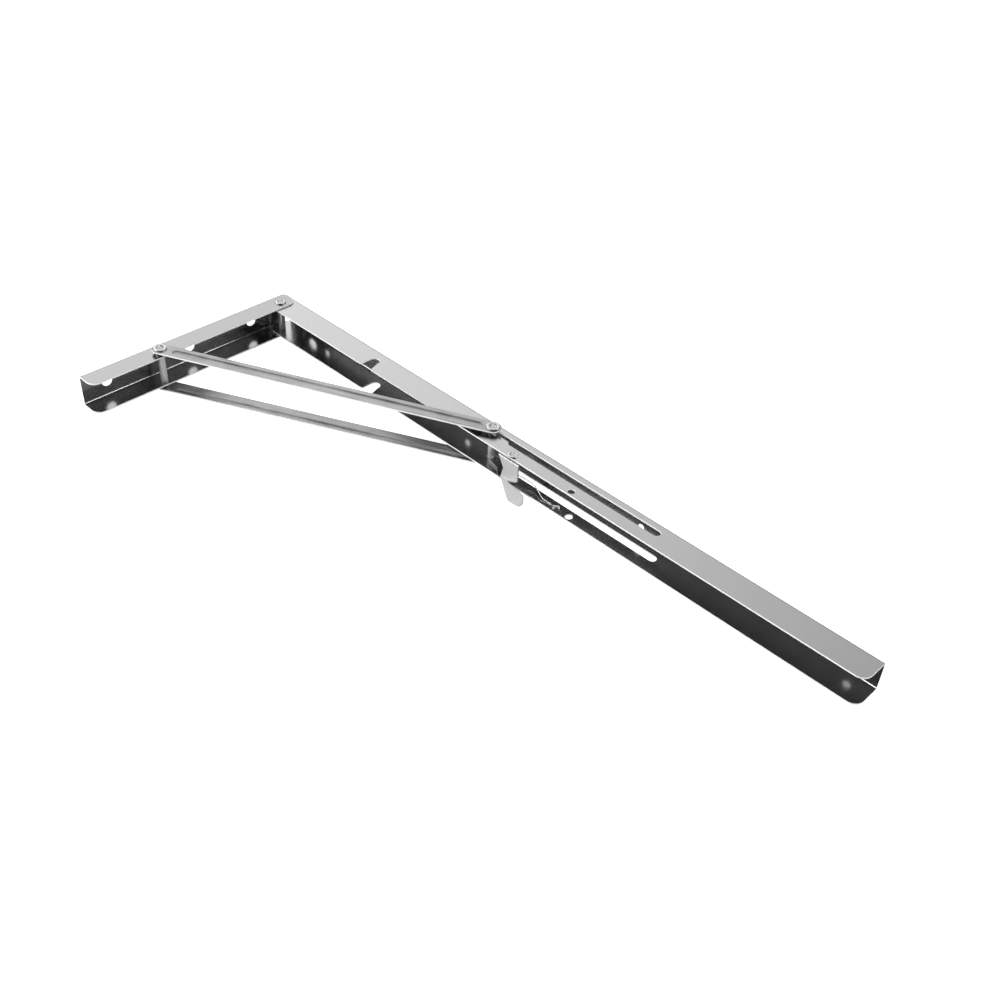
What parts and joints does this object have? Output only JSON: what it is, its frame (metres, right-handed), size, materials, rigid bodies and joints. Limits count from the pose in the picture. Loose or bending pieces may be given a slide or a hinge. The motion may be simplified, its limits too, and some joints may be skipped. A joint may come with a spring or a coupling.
{
  "type": "folding shelf bracket",
  "caption": "Folding shelf bracket of folded steel channels, with a pair of struts, a sliding pin and a sprung release lever, shown open on its side.",
  "frame": {"origin": "on the wall channel's back face, level with the hinge axis, midway across the width", "axes": "+X out from the wall along the open shelf channel, +Y out of the shelf channel's web (up when fitted to a wall), +Z across the width (up as it lies on its side)"},
  "size_m": [0.6038, 0.203, 0.0388],
  "materials": {
    "sheet": "satin",
    "turned": "semi-bright",
    "tube": "bright",
    "washer": "satin",
    "spring_wire": "bright"
  },
  "bodies": {
    "wall_arm": {"wall_channel": "sheet", "hinge_rivet": "turned", "hinge_spacer": "tube", "wall_pivot_pin": "turned", "wall_pivot_spacer": "tube"},
    "shelf_arm": {"shelf_channel": "sheet", "lever_rivet": "turned", "lever_spacer": "tube", "lever_spring": "spring_wire"},
    "slider": {"slide_pin": "turned", "slide_spacer": "tube", "upper_slide_washer": "washer", "lower_slide_washer": "washer"},
    "brace": {"upper_strap": "sheet", "lower_strap": "sheet", "upper_pivot_washer": "washer", "lower_pivot_washer": "washer", "upper_pivot_head": "turned", "lower_pivot_head": "turned"},
    "lever": {"release_lever": "sheet"}
  },
  "joints": [
    {"name": "shelf_fold", "type": "hinge", "parent": "wall_arm", "child": "shelf_arm", "pos_m": [0.0118, 0, 0], "axis": [0, 0, 1], "range_deg": [-90, 0]},
    {"name": "pin_slide", "type": "slide", "parent": "shelf_arm", "child": "slider", "axis": [1, 0, 0], "range_m": [0, 0.1503]},
    {"name": "brace_swing", "type": "hinge", "parent": "slider", "child": "brace", "pos_m": [0.268, 0.0045, 0], "axis": [0, 0, 1], "range_deg": [-25.91, 0]},
    {"name": "lever_press", "type": "hinge", "parent": "shelf_arm", "child": "lever", "pos_m": [0.2991, -0.0059, 0], "axis": [0, 0, 1], "range_deg": [0, 12], "stiffness_Nm_per_rad": 0.02, "springref_deg": -11.46, "deforming": ["lever_spring"]}
  ],
  "couplings": [
    {"joint": "pin_slide", "follows": "shelf_fold", "m_per_rad": -0.0956},
    {"joint": "brace_swing", "follows": "shelf_fold", "ratio": 0.28675}
  ]
}
